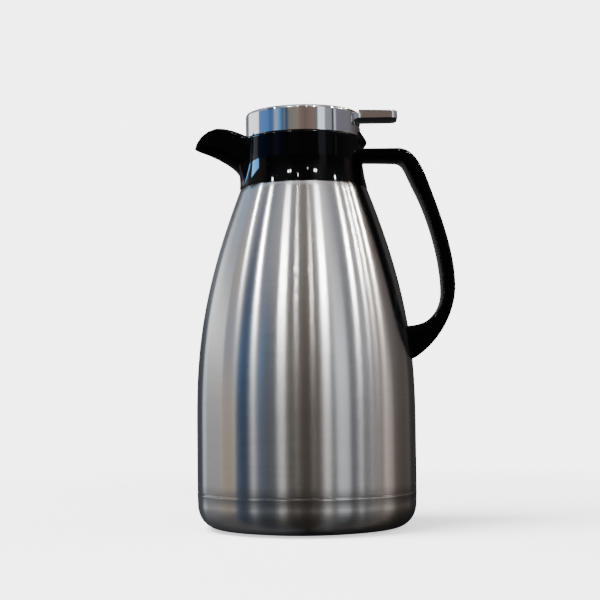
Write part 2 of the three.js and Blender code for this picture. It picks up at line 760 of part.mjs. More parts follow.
const valve = new THREE.Group();
add(valve, 'valve_stem', valveStem(), PLAIN_STEEL);
add(valve, 'stem_clip', stemClip(), PLAIN_STEEL);
add(valve, 'valve_disc', valveDisc(), BLACK_PLASTIC);
add(valve, 'valve_washer', valveWasher(), SILICONE);
add(valve, 'valve_nut', valveNut(), PLAIN_STEEL);
add(valve, 'valve_spring', valveSpring(), PLAIN_STEEL);

parts.add(vessel, lid, valve);

export default parts;
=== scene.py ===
"""Vacuum coffee carafe: the looks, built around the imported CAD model.

Shapes are worked out in millimetres, in the CAD frame (+Z up, spout to -X, handle to +X),
and turned into metres when a mesh is made.
"""

import json
import math

import bmesh
import bpy
import numpy as np
from mathutils import Euler, Matrix, Vector


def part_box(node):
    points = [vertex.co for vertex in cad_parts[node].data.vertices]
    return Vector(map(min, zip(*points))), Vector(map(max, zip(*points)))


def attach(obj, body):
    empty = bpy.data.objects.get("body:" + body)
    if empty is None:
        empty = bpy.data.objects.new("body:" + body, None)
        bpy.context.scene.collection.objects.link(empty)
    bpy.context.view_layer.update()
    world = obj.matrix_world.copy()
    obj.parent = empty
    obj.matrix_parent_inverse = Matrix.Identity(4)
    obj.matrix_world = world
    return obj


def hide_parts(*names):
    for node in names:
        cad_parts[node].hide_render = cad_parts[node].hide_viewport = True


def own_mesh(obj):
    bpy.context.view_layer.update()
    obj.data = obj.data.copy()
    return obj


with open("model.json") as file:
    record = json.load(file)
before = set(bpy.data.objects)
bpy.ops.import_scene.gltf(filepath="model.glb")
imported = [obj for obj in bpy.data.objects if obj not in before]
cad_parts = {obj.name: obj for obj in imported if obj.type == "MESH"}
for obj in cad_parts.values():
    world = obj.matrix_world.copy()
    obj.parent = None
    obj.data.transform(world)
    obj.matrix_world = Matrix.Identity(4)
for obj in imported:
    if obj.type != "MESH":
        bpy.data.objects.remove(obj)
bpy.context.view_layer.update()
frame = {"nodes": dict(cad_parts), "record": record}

MM = 0.001
AROUND = 192  # columns round a turned piece
SHARP_DEG = 38  # edges sharper than this show as edges


def node_box(node):
    """A CAD node's lowest and highest corners, in millimetres."""
    low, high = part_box(node)
    return np.array(low) / MM, np.array(high) / MM


# ---- Sizes taken from the frame --------------------------------------------------------------

SHELL_LOW, SHELL_HIGH = node_box("outer_shell")
CUP_LOW, CUP_HIGH = node_box("base_cup")
COLLAR_LOW, COLLAR_HIGH = node_box("spout_collar")
CAP_LOW, CAP_HIGH = node_box("chrome_cap")
LEVER_HIGH = node_box("lever")[1]
BRACKET_LOW = node_box("lever_bracket")[0]
HANDLE_HIGH = node_box("handle")[1]
PAD_HIGH = node_box("base_pad")[1]
LINER_LOW, LINER_HIGH = node_box("inner_liner")

BODY_R = SHELL_HIGH[0]
RIM_Z = SHELL_HIGH[2]
SEAM_Z = SHELL_LOW[2] - 0.3
SHOULDER_R = 41.3
SHOULDER_Z = COLLAR_LOW[2] - 0.35
NECK_R = 36.0
STEEL_WALL = 0.7
CAP_R = -CAP_LOW[0]
CAP_BOTTOM_Z = CAP_LOW[2]
CAP_TOP_Z = CAP_HIGH[2]


# ---- Mesh helpers ----------------------------------------------------------------------------


def new_object(name, points, faces, material, sharp_deg=SHARP_DEG):
    mesh = bpy.data.meshes.new(name)
    mesh.from_pydata([tuple(p) for p in np.asarray(points, float) * MM], [], faces)
    mesh.update()
    tidy = bmesh.new()
    tidy.from_mesh(mesh)
    bmesh.ops.remove_doubles(tidy, verts=tidy.verts, dist=1e-7)
    bmesh.ops.recalc_face_normals(tidy, faces=tidy.faces)
    tidy.to_mesh(mesh)
    tidy.free()
    mesh.polygons.foreach_set("use_smooth", [True] * len(mesh.polygons))
    mesh.set_sharp_from_angle(angle=math.radians(sharp_deg))
    mesh.materials.append(material)
    obj = bpy.data.objects.new(name, mesh)
    bpy.context.scene.collection.objects.link(obj)
    return obj


def grid_faces(rows, columns, wrap_rows, wrap_columns):
    """Quads over a grid whose point (row, column) has index row * columns + column."""
    faces = []
    for i in range(rows if wrap_rows else rows - 1):
        for j in range(columns if wrap_columns else columns - 1):
            a = i * columns + j
            b = i * columns + (j + 1) % columns
            c = ((i + 1) % rows) * columns + (j + 1) % columns
            d = ((i + 1) % rows) * columns + j
            faces.append((a, b, c, d))
    return faces


def capped_loft(name, rings, material, sharp_deg=SHARP_DEG):
    """A closed piece through equal rings of points, with a face on the first and on the last."""
    count = len(rings[0])
    points = np.array(rings, float).reshape(-1, 3)
    faces = grid_faces(len(rings), count, False, True)
    faces.append(tuple(range(count)))
    faces.append(tuple(range(len(points) - count, len(points))))
    return new_object(name, points, faces, material, sharp_deg)


def rounded(corners):
    """Profile points from (r, z, fillet radius) corners: each fillet becomes an arc.

    A support point just beyond each end of the arc keeps the straight parts shading flat."""
    support, support_share = 0.12, 0.03
    points = []
    count = len(corners)
    for i, (r, z, radius) in enumerate(corners):
        here = np.array([r, z], float)
        if radius <= 0:
            points.append(here)
            continue
        before = np.array(corners[(i - 1) % count][:2], float)
        after = np.array(corners[(i + 1) % count][:2], float)
        long_before, long_after = np.linalg.norm(before - here), np.linalg.norm(after - here)
        to_before = (before - here) / long_before
        to_after = (after - here) / long_after
        half = 0.5 * math.acos(np.clip(np.dot(to_before, to_after), -1, 1))
        reach = min(radius / math.tan(half), 0.45 * long_before, 0.45 * long_after)
        start = here + to_before * reach
        end = here + to_after * reach
        points.append(start + to_before * min(support, support_share * long_before))
        for t in np.linspace(0, 1, 6):
            points.append((1 - t) ** 2 * start + 2 * t * (1 - t) * here + t * t * end)
        points.append(end + to_after * min(support, support_share * long_after))
    return points


def lathe(name, profile, material, around=AROUND, closed=True):
    """A turned piece. An open profile starts and ends on the axis; a closed one is a ring."""
    angles = np.linspace(0, 2 * math.pi, around, endpoint=False)
    rings = [np.stack([r * np.cos(angles), r * np.sin(angles), np.full(around, z)], 1) for r, z in profile]
    faces = grid_faces(len(profile), around, closed, True)
    return new_object(name, np.concatenate(rings), faces, material)


def bezier(p0, p1, p2, p3, steps):
    t = np.linspace(0, 1, steps + 1)[:, None]
    p0, p1, p2, p3 = (np.array(p, float) for p in (p0, p1, p2, p3))
    return (1 - t) ** 3 * p0 + 3 * (1 - t) ** 2 * t * p1 + 3 * (1 - t) * t * t * p2 + t ** 3 * p3


def smoothstep(low, high, x):
    t = np.clip((x - low) / (high - low), 0, 1)
    return t * t * (3 - 2 * t)


def smooth_max(a, b, width):
    blend = np.maximum(width - np.abs(a - b), 0) / width
    return np.maximum(a, b) + blend ** 2 * width / 4


def cut_with(obj, *tools):
    for tool in tools:
        boolean = obj.modifiers.new("cut", "BOOLEAN")
        boolean.operation = "DIFFERENCE"
        boolean.solver = "EXACT"
        boolean.object = tool
    apply_modifiers(obj)
    for tool in tools:
        bpy.data.objects.remove(tool)


def apply_modifiers(obj):
    bpy.context.view_layer.update()
    graph = bpy.context.evaluated_depsgraph_get()
    mesh = bpy.data.meshes.new_from_object(obj.evaluated_get(graph))
    obj.modifiers.clear()
    obj.data = mesh


def bevel(obj, width, angle):
    edge = obj.modifiers.new("bevel", "BEVEL")
    edge.width = width * MM
    edge.segments = 2
    edge.limit_method = "ANGLE"
    edge.angle_limit = math.radians(angle)
    apply_modifiers(obj)
    obj.data.polygons.foreach_set("use_smooth", [True] * len(obj.data.polygons))
    obj.data.set_sharp_from_angle(angle=math.radians(SHARP_DEG))


def block(name, low, high):
    """A box that cuts another piece."""
    corners = [(x, y, z) for x in (low[0], high[0]) for y in (low[1], high[1]) for z in (low[2], high[2])]
    faces = [(0, 1, 3, 2), (4, 6, 7, 5), (0, 4, 5, 1), (2, 3, 7, 6), (0, 2, 6, 4), (1, 5, 7, 3)]
    return new_object(name, corners, faces, bpy.data.materials["scratch"])


def prism(name, outline, low_y, high_y, material):
    """An outline of (x, z) points given thickness along Y."""
    count = len(outline)
    points = [(x, low_y, z) for x, z in outline] + [(x, high_y, z) for x, z in outline]
    faces = [tuple(range(count)), tuple(range(2 * count - 1, count - 1, -1))]
    faces += [(i, (i + 1) % count, count + (i + 1) % count, count + i) for i in range(count)]
    return new_object(name, points, faces, material)


def y_cylinder(name, x, z, radius, half_y):
    """A round bar along Y that cuts another piece."""
    angles = np.linspace(0, 2 * math.pi, 32, endpoint=False)
    outline = [(x + radius * math.cos(a), z + radius * math.sin(a)) for a in angles]
    return prism(name, outline, -half_y, half_y, bpy.data.materials["scratch"])


def turned_tool(name, radius, low, high):
    """A round bar along Z that cuts another piece."""
    scratch = bpy.data.materials["scratch"]
    return lathe(name, [(0, low), (radius, low), (radius, high), (0, high)], scratch, 96, closed=False)


# ---- Materials -------------------------------------------------------------------------------


class Nodes:
    """Short names for building one material's node tree."""

    def __init__(self, name):
        self.material = bpy.data.materials.new(name)
        self.material.use_nodes = True
        self.tree = self.material.node_tree
        self.shader = self.tree.nodes["Principled BSDF"]

    def node(self, kind, inputs=None, **settings):
        made = self.tree.nodes.new(kind)
        for key, value in settings.items():
            setattr(made, key, value)
        for key, value in (inputs or {}).items():
            if isinstance(value, bpy.types.NodeSocket):
                self.tree.links.new(value, made.inputs[key])
            else:
                made.inputs[key].default_value = value
        return made

    def math(self, operation, a, b=0.0):
        return self.node("ShaderNodeMath", {0: a, 1: b}, operation=operation).outputs[0]

    def set(self, **values):
        for key, value in values.items():
            socket = self.shader.inputs[key.replace("_", " ")]
            if isinstance(value, bpy.types.NodeSocket):
                self.tree.links.new(value, socket)
            else:
                socket.default_value = value

    def place(self):
        return self.node("ShaderNodeTexCoord").outputs["Object"]

    def noise(self, vector, scale, detail=2.0, roughness=0.5):
        inputs = {"Vector": vector, "Scale": scale, "Detail": detail, "Roughness": roughness}
        return self.node("ShaderNodeTexNoise", inputs).outputs["Fac"]

    def stretch(self, vector, scale):
        return self.node("ShaderNodeVectorMath", {0: vector, 1: scale}, operation="MULTIPLY").outputs[0]

    def ramp(self, value, *stops):
        made = self.node("ShaderNodeValToRGB", {"Fac": value})
        ramp = made.color_ramp
        while len(ramp.elements) < len(stops):
            ramp.elements.new(0.5)
        for element, (position, colour) in zip(ramp.elements, stops):
            element.position = position
            element.color = (*colour, 1)
        return made.outputs["Color"]

    def span(self, value, low, high):
        inputs = {"Value": value, "To Min": low, "To Max": high}
        return self.node("ShaderNodeMapRange", inputs).outputs["Result"]

    def bump(self, height, strength, distance=0.0002):
        inputs = {"Height": height, "Strength": strength, "Distance": distance}
        self.set(Normal=self.node("ShaderNodeBump", inputs).outputs["Normal"])


def round_axis_grain(nodes, along, up):
    """A vector that is long round the Z axis and short up it, with no seam."""
    split = nodes.node("ShaderNodeSeparateXYZ", {0: nodes.place()}).outputs
    level = nodes.node("ShaderNodeCombineXYZ", {"X": split["X"], "Y": split["Y"]}).outputs[0]
    facing = nodes.node("ShaderNodeVectorMath", {0: level}, operation="NORMALIZE").outputs[0]
    flat = nodes.stretch(facing, (along, along, along))
    height = nodes.math("MULTIPLY", split["Z"], up)
    lift = nodes.node("ShaderNodeCombineXYZ", {"Z": height}).outputs[0]
    return nodes.node("ShaderNodeVectorMath", {0: flat, 1: lift}, operation="ADD").outputs[0]


def brushed_steel():
    n = Nodes("brushed_steel")
    fine = n.noise(round_axis_grain(n, 5.0, 5200.0), 1.0, 3.0, 0.65)
    coarse = n.noise(round_axis_grain(n, 2.5, 1300.0), 1.0, 2.0, 0.5)
    cloud = n.noise(n.place(), 14.0, 3.0, 0.55)
    grain = n.math("ADD", n.math("MULTIPLY", fine, 0.7), n.math("MULTIPLY", coarse, 0.3))
    n.set(Base_Color=n.ramp(grain, (0.3, (0.72, 0.705, 0.69)), (0.7, (0.83, 0.825, 0.82))))
    n.set(Metallic=1.0, Anisotropic=1.0, Anisotropic_Rotation=0.25)
    mixed = n.math("ADD", n.math("MULTIPLY", grain, 0.75), n.math("MULTIPLY", cloud, 0.25))
    n.set(Roughness=n.span(mixed, 0.16, 0.25))
    n.set(Tangent=n.node("ShaderNodeTangent", direction_type="RADIAL", axis="Z").outputs[0])
    n.bump(grain, 0.22, 0.00005)
    return n.material


def plain_steel():
    n = Nodes("plain_steel")
    cloud = n.noise(n.place(), 90.0, 4.0, 0.6)
    n.set(Base_Color=n.ramp(cloud, (0.3, (0.56, 0.56, 0.57)), (0.7, (0.66, 0.66, 0.66))))
    n.set(Metallic=1.0, Roughness=n.span(cloud, 0.24, 0.4))
    n.bump(n.noise(n.place(), 1800.0, 2.0), 0.05)
    return n.material


def liner_steel():
    n = Nodes("liner_steel")
    turned = n.noise(round_axis_grain(n, 1.2, 2600.0), 1.0, 2.0)
    n.set(Base_Color=n.ramp(turned, (0.3, (0.55, 0.55, 0.56)), (0.7, (0.66, 0.66, 0.67))))
    n.set(Metallic=1.0, Roughness=n.span(turned, 0.28, 0.42))
    n.bump(turned, 0.08, 0.00005)
    return n.material


def chrome():
    n = Nodes("chrome_plating")
    haze = n.noise(n.place(), 60.0, 3.0, 0.6)
    n.set(Base_Color=n.ramp(haze, (0.25, (0.80, 0.81, 0.83)), (0.75, (0.86, 0.86, 0.87))))
    n.set(Metallic=1.0, Roughness=n.span(haze, 0.025, 0.07))
    n.bump(n.noise(n.place(), 45.0, 1.0), 0.02, 0.0002)
    return n.material


def gloss_black():
    n = Nodes("gloss_black")
    smudge = n.noise(n.place(), 35.0, 4.0, 0.6)
    n.set(Base_Color=n.ramp(smudge, (0.3, (0.0008, 0.0008, 0.001)), (0.7, (0.0016, 0.0016, 0.002))))
    n.set(Roughness=n.span(smudge, 0.015, 0.05), IOR=1.45, Specular_IOR_Level=0.16)
    n.bump(n.noise(n.place(), 240.0, 2.0), 0.01, 0.00005)
    return n.material


def satin_plastic():
    n = Nodes("satin_plastic")
    grain = n.noise(n.place(), 900.0, 3.0, 0.6)
    n.set(Base_Color=n.ramp(grain, (0.3, (0.016, 0.016, 0.017)), (0.7, (0.028, 0.028, 0.029))))
    n.set(Roughness=n.span(grain, 0.36, 0.52), IOR=1.47)
    n.bump(grain, 0.12, 0.00005)
    return n.material


def rubber():
    n = Nodes("base_rubber")
    grain = n.noise(n.place(), 1400.0, 3.0, 0.65)
    n.set(Base_Color=n.ramp(grain, (0.3, (0.012, 0.012, 0.012)), (0.7, (0.026, 0.025, 0.024))))
    n.set(Roughness=n.span(grain, 0.7, 0.9), IOR=1.45)
    n.bump(grain, 0.3, 0.0001)
    return n.material


def silicone():
    n = Nodes("silicone")
    cloud = n.noise(n.place(), 220.0, 3.0, 0.6)
    n.set(Base_Color=n.ramp(cloud, (0.3, (0.48, 0.47, 0.44)), (0.7, (0.60, 0.58, 0.55))))
    n.set(Roughness=n.span(cloud, 0.42, 0.58), IOR=1.41, Subsurface_Weight=0.25)
    n.set(Subsurface_Radius=(0.002, 0.002, 0.002))
    n.bump(cloud, 0.05, 0.0001)
    return n.material


def getter_metal():
    n = Nodes("getter_metal")
    grain = n.noise(n.place(), 2600.0, 4.0, 0.7)
    n.set(Base_Color=n.ramp(grain, (0.3, (0.16, 0.16, 0.17)), (0.7, (0.34, 0.34, 0.35))))
    n.set(Metallic=1.0, Roughness=n.span(grain, 0.5, 0.75))
    n.bump(grain, 0.4, 0.0001)
    return n.material


bpy.data.materials.new("scratch")
STEEL = brushed_steel()
PLAIN = plain_steel()
LINER = liner_steel()
CHROME = chrome()
BLACK = gloss_black()
SATIN = satin_plastic()
RUBBER = rubber()
SILICONE = silicone()
GETTER = getter_metal()


def finish_piece(piece, body, slot, *nodes):
    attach(piece, body)
    if nodes:
        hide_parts(*nodes)


# ---- Steel body ------------------------------------------------------------------------------

BODY_CURVE = bezier(
    (BODY_R, 48.6),
    (BODY_R, 96.9),
    (SHOULDER_R + 31.4, SHOULDER_Z - 81.1),
    (SHOULDER_R, SHOULDER_Z),
    64,
)


def body_radius(z):
    return np.interp(z, BODY_CURVE[:, 1], BODY_CURVE[:, 0])


def steel_body():
    low = SHELL_LOW[2]
    outside = [(BODY_R - 0.45, low), (BODY_R - 0.16, low + 0.12), (BODY_R - 0.08, low + 0.45)]
    outside += [(BODY_R - 0.03, low + 6)]
    outside += [tuple(p) for p in BODY_CURVE]
    shoulder = (SHOULDER_R, SHOULDER_Z)
    neck = bezier(shoulder, (38.6, SHOULDER_Z + 2), (36.2, SHOULDER_Z + 1.6), (NECK_R, SHOULDER_Z + 5), 6)
    outside += [tuple(p) for p in neck[1:]] + [(NECK_R, RIM_Z)]
    inside = []
    for r, z in reversed(outside[2:]):
        drop = 0.5 if SHOULDER_Z < z < SHOULDER_Z + 4 else 0
        inside.append((r - STEEL_WALL, z - drop))
    inside.append((BODY_R - 0.45 - STEEL_WALL, low))
    return lathe("steel_body", outside + inside, STEEL)


def steel_base():
    foot_r, foot_z, top_z = 56.0, CUP_LOW[2], 17.0
    lip_r = CUP_HIGH[0] - 0.02
    wall_r = BODY_R - 0.25
    seam_top = SEAM_Z - 0.3
    curve = bezier((foot_r, foot_z), (foot_r + 8.2, foot_z), (wall_r, top_z - 9.6), (wall_r, top_z), 26)
    # The pad's recess, the foot, the side, the lip at the seam and the tongue inside the shell.
    outside = [(0, foot_z + 2.6), (52.4, foot_z + 2.6), (53.0, foot_z + 2.2)]
    outside += [(53.6, foot_z + 0.3), (54.2, foot_z)]
    outside += [tuple(p) for p in curve]
    lip = rounded([(lip_r - 0.12, seam_top - 1.2, 0), (lip_r, seam_top - 0.9, 0.3), (lip_r, seam_top, 0.3)])
    outside += [tuple(p) for p in lip] + [(BODY_R - 1.2, seam_top), (BODY_R - 1.2, SEAM_Z + 4.5)]
    inside = [(BODY_R - 1.9, SEAM_Z + 4.5), (BODY_R - 1.9, top_z + 1)]
    inside += [(r - STEEL_WALL, z + 0.3) for r, z in reversed(curve[1:-1])]
    inside += [(54.4, foot_z + 3.3), (0, foot_z + 3.3)]
    return lathe("steel_base", outside + inside, STEEL, closed=False)


def foot_pad():
    top, edge = PAD_HIGH[2], PAD_HIGH[0]
    corners = [(0, 0)]
    for groove_r in (14.0, 26.0, 38.0):
        corners += [(groove_r - 1, 0), (groove_r - 0.6, 0.5), (groove_r + 0.6, 0.5), (groove_r + 1, 0)]
    corners += [(edge - 1.4, 0), (edge - 0.6, 0.3), (edge, 1.2), (edge, top), (0, top)]
    return lathe("foot_pad", corners, RUBBER, closed=False)


# ---- Collar with the spout -------------------------------------------------------------------

SPOUT_TIP = -COLLAR_LOW[0]
RIM_LEVEL_Z = 251.7
RIM_DROP = 0.7  # from the rim's top to where its round edge begins
BORE_R = 36.4
BLEND_WIDTH = 5.0  # the fillet between the spout and the round collar
# Half widths of the spout at its root and at its tip, outside and inside.
OUTER_HALF_WIDTHS = (17.5, 5.2)
INNER_HALF_WIDTHS = (15.4, 3.5)
# Side view of the spout: (distance from the axis, height) along its upper edge and its keel.
SPOUT_TOP = np.array([
    (30, 251.7), (38, 251.8), (43.3, 254.4), (48.4, 256.45), (53.1, 257.8), (57.5, 258.4),
    (62.4, 256.95), (66.5, 254.0), (69.5, 250.3), (71.4, 246.5),
])
SPOUT_KEEL = np.array([
    (36, 212), (38.6, 219), (40.3, 224.0), (41.3, 228.3), (43.9, 231.3), (46.8, 234.0), (50.8, 236.8),
    (55.3, 239.4), (61.2, 242.2), (68.1, 244.9), (71.4, 246.4), (72, 247.2),
])
# Profile of the boss above the handle.
BOSS_Z = (244.8, 246.0, 248.4, 249.6, 250.5, 252.0, 255.6)
BOSS_R = (38.2, 39.1, 41.3, 41.55, 41.3, 40.4, 38.0)


def collar_radius(z):
    """The collar's outside: nearly upright above, flaring ever more down to the steel."""
    flare = 0.0283 * np.maximum(238 - np.asarray(z, float), 0) ** 1.6
    return 38.4 + 0.25 * smoothstep(262, 238, z) + flare


def half_width(s, widths, reach):
    """Half of the spout's width at a distance s from the axis: root to a rounded lip."""
    root, tip = widths
    taper = root - (root - tip) * smoothstep(30, reach + 14, s) ** 0.9
    lip = np.sqrt(np.clip(1 - ((s - (reach - tip * 1.2)) / (tip * 1.2)).clip(0, 1) ** 2, 0, 1))
    return taper * np.where(s > reach - tip * 1.2, lip, 1.0)


def height_along(line, s):
    return np.interp(s, line[:, 0], line[:, 1])


def channel_floor(s):
    """Height of the pouring channel's floor at a distance s from the axis."""
    return 242.0 + 0.10 * max(s - 38, 0) + 3.9 * smoothstep(52, 71, s)


def rays(angle, start, end):
    """Points out along each direction: their distances, and the same along and off the spout."""
    rho = np.linspace(start, end, 900)[None, :]
    return rho, rho * np.cos(angle)[:, None], np.abs(rho * np.sin(angle)[:, None])


def spout_reach(angle, z):
    """How far the spout's outside reaches from the axis, in a direction and at a height."""
    rho, s, y = rays(angle, 30, SPOUT_TIP + 0.2)
    keel = height_along(SPOUT_KEEL, s)
    top = height_along(SPOUT_TOP, s)
    width = half_width(s, OUTER_HALF_WIDTHS, SPOUT_TIP)
    bilge, bilge_width = 0.36, 0.93  # the round bottom's share of the height, and its share of the width
    reach = np.zeros((len(angle), len(z)))
    for j, height in enumerate(z):
        t = np.clip((height - keel) / np.maximum(top - keel, 0.5), 0, 1.6)
        below = bilge_width * np.sqrt(np.clip(1 - (1 - t / bilge) ** 2, 0, 1))
        above = bilge_width + (1 - bilge_width) * smoothstep(0.3, 1, t)
        inside = (height > keel) & (y <= width * np.where(t < bilge, below, above)) & (s > 30)
        reach[:, j] = np.where(inside, rho, 0).max(axis=1)
    return reach


def collar_angles():
    """Directions from the spout round to the handle and back, closest where the shape turns."""
    near = np.radians(np.linspace(0, 34, 90))
    middle = np.radians(np.linspace(34, 158, 70)[1:])
    boss = np.radians(np.linspace(158, 180, 36)[1:])
    half = np.concatenate([near, middle, boss])
    return np.concatenate([half, -half[1:-1][::-1]])


def collar_inside(a, top_r, top_z, inner_r):
    """From the outer edge over the rim, down into the channel, along its floor and down the bore."""
    column = []
    in_r = min(inner_r, top_r - 1.5)
    for k in range(1, 6):
        turn = math.pi * k / 6
        r = top_r - (top_r - in_r) * (1 - math.cos(turn)) / 2
        column.append((r, top_z - RIM_DROP + 0.75 * math.sin(turn)))
    floor_z = min(channel_floor(in_r * math.cos(a)), top_z - 0.9)
    for t in np.linspace(0, 1, 10):
        sag = 1.2 * (1 - math.sqrt(max(1 - max(t - 0.75, 0) ** 2 * 16, 0)))
        column.append((max(in_r - sag, BORE_R), top_z - RIM_DROP + t * (floor_z - top_z + RIM_DROP)))
    floor_r = max(in_r - 1.2, BORE_R)
    for t in np.linspace(0, 1, 14)[1:]:
        r = floor_r + t * (BORE_R - floor_r)
        column.append((r, min(channel_floor(r * math.cos(a)), floor_z)))
    column += [(BORE_R, z) for z in np.linspace(242, SHOULDER_Z + 5, 6)[1:]]
    return column + [(37.7, SHOULDER_Z + 2.9), (39.7, SHOULDER_Z + 1.7), (41.0, SHOULDER_Z + 0.5)]


def collar_with_spout():
    angle = collar_angles()
    rho, s, y = rays(angle, NECK_R, SPOUT_TIP)
    on_plan = (y <= half_width(s, OUTER_HALF_WIDTHS, SPOUT_TIP)) & (s > 0)
    in_channel = (y <= half_width(s, INNER_HALF_WIDTHS, SPOUT_TIP - 1.9)) & (s > 0)
    rim_rho = np.where(on_plan, rho, 0).max(axis=1)
    inner_rho = np.maximum(np.where(in_channel, rho, 0).max(axis=1), BORE_R)
    # The rim is level at the front and back, and rises to the spout and to the boss.
    boss = 1 - smoothstep(15.0, 17.5, 180 - np.abs(np.degrees(angle)))
    on_spout = smoothstep(37.2, 40.5, rim_rho)
    rim_z = (RIM_LEVEL_Z + 3.7 * boss) * (1 - on_spout)
    rim_z += height_along(SPOUT_TOP, rim_rho * np.cos(angle)) * on_spout
    low = COLLAR_LOW[2]
    z_grid = low + np.linspace(0, 1, 80)[:, None] * (rim_z[None, :] - RIM_DROP - low)
    z_table = np.linspace(low, COLLAR_HIGH[2] + 1, 330)
    reach = spout_reach(angle, z_table)
    rings = []
    for i, a in enumerate(angle):
        z = z_grid[:, i]
        collar_r = collar_radius(z)
        outer = smooth_max(collar_r, np.interp(z, z_table, reach[i]), BLEND_WIDTH)
        bump = np.interp(z, BOSS_Z, BOSS_R)
        outer = np.maximum(outer, collar_r + boss[i] * np.maximum(bump - collar_r, 0))
        outer = np.minimum(outer, SPOUT_TIP)
        column = list(zip(outer, z)) + collar_inside(a, outer[-1], rim_z[i], inner_rho[i])
        rings.append([(-r * math.cos(a), r * math.sin(a), height) for r, height in column])
    points = np.array(rings).reshape(-1, 3)
    faces = grid_faces(len(rings), len(rings[0]), True, True)
    return new_object("collar_and_spout", points, faces, BLACK, sharp_deg=50)


# ---- Handle ----------------------------------------------------------------------------------


def handle_edges():
    """Matching points along the handle's outer and inner edges, in (x, z)."""
    outer = [
        bezier((39, 244.4), (46, 244.4), (54, 244.4), (61, 244.4), 10),
        bezier((61, 244.4), (71, 244.4), (76.1, 235), (81.4, 220), 22),
        bezier((81.4, 220), (89.1, 198.5), (96.9, 176), (96.9, 155), 28),
        bezier((96.9, 155), (96.9, 137.4), (86, 117.8), (69.3, 107.8), 30),
    ]
    inner = [
        bezier((39, 237.5), (46, 237.4), (52, 237.3), (58.5, 237.1), 10),
        bezier((58.5, 237.1), (66.2, 236.9), (65.0, 233.4), (73.6, 216.3), 22),
        bezier((73.6, 216.3), (82.3, 197.4), (89, 172), (89, 152), 28),
        bezier((89, 152), (89, 138.5), (80, 129.6), (66.4, 129.1), 30),
    ]
    return [np.concatenate([parts[0]] + [p[1:] for p in parts[1:]]) for parts in (outer, inner)]


def strap_section(half_y, half_t, radius, steps=5):
    """Rounded rectangle: (across, through) offsets from the strap's middle."""
    points = []
    for cy, ct, start in ((1, 1, 0), (-1, 1, 90), (-1, -1, 180), (1, -1, 270)):
        for k in range(steps + 1):
            angle = math.radians(start + 90 * k / steps)
            y = cy * (half_y - radius) + radius * math.cos(angle)
            t = ct * (half_t - radius) + radius * math.sin(angle)
            points.append((y, t))
    return points


def strap_handle():
    outer, inner = handle_edges()
    half_y = HANDLE_HIGH[1] - 0.02
    rings = []
    for p_out, p_in in zip(outer, inner):
        middle = (p_out + p_in) / 2
        through = (p_out - p_in) / 2
        half_t = np.linalg.norm(through)
        ring = []
        for y, t in strap_section(half_y, half_t, min(1.9, half_t * 0.55)):
            x, z = middle + through / half_t * t
            ring.append([x, y, z])
        rings.append(ring)
    # The two ends lie against the collar and against the body.
    for point in rings[0]:
        point[0] = math.sqrt((38.62 + 0.05) ** 2 - point[1] ** 2)
    for point in rings[-1]:
        point[0] = math.sqrt((body_radius(point[2]) + 0.12) ** 2 - point[1] ** 2)
    return capped_loft("strap_handle", rings, BLACK, sharp_deg=45)


# ---- Lid -------------------------------------------------------------------------------------

NOTCH_HALF_Y = LEVER_HIGH[1] + 0.4
NOTCH_FRONT_X = 12.3
ROOT_HALF_Y = LEVER_HIGH[1] - 0.6
PIN_X, PIN_Z = 30.0, 260.0


def cap():
    wall, roof = 1.4, 2.0
    corners = [
        (CAP_R - wall, CAP_BOTTOM_Z, 0.3), (CAP_R, CAP_BOTTOM_Z, 0.35), (CAP_R, CAP_TOP_Z, 2.1),
        (0, CAP_TOP_Z, 0), (0, CAP_TOP_Z - roof, 0), (CAP_R - wall, CAP_TOP_Z - roof, 0.8),
    ]
    piece = lathe("cap_shell", rounded(corners), CHROME, around=240)
    notch = block("notch", (NOTCH_FRONT_X, -NOTCH_HALF_Y, 245), (45, NOTCH_HALF_Y, 275))
    cut_with(piece, notch)
    bevel(piece, 0.15, 50)
    return piece


def lid_arc(radius, half_y):
    """The lid's round edge between -half_y and half_y, in (x, y)."""
    reach = math.asin(half_y / radius)
    return [(radius * math.cos(a), radius * math.sin(a)) for a in np.linspace(-reach, reach, 33)]


def upper_edge(top, radius, steps):
    """A round upper edge: (inset, z) points from the side up to the top."""
    angles = np.linspace(0, math.pi / 2, steps)
    return [(radius * (1 - math.cos(a)), top - radius * (1 - math.sin(a))) for a in angles]


def notch_block(name, low, top, fillet):
    """A block that fills the cap's notch and follows the cap's round side."""
    half_y, radius, front = ROOT_HALF_Y, CAP_R - 0.15, NOTCH_FRONT_X + 0.5
    profile = [(0.2, low), (0, low + 0.2), (0, low + 0.35), (0, top - fillet - 0.15)]
    profile += upper_edge(top, fillet, 7)
    rings = []
    for inset, z in profile:
        outline = [(front, -half_y)] + lid_arc(radius - inset, half_y) + [(front, half_y)]
        rings.append([(x, y, z) for x, y in outline])
    return capped_loft(name, rings, CHROME, sharp_deg=32)


def lever_root():
    root = notch_block("lever_root", 261.2, CAP_TOP_Z - 0.1, 1.6)
    cut_with(root, block("pocket", (15, -15.9, 255), (33.3, 15.9, 265.9)))
    return root


def tab_outline(inset, flare):
    """Half of the tab's plan, from its root to the middle of its tip, in (x, y)."""
    half_y, tip, corner = 10.0, LEVER_HIGH[0] - 0.02, 4.4
    back = 36.3 - 1.5 * flare
    side = []
    for t in np.linspace(0, 1, 8):
        side.append((back + 4 * t, half_y - inset + 1.6 * flare * (1 - t) ** 2.4))
    side += [(x, half_y - inset) for x in np.linspace(back + 6, tip - corner - 2, 6)]
    for a in np.linspace(math.pi / 2, 0, 10):
        reach = corner - inset
        side.append((tip - corner + reach * math.cos(a), half_y - corner + reach * math.sin(a)))
    side += [(tip - inset, (half_y - corner) * (1 - t)) for t in (0.4, 0.8)]
    return side


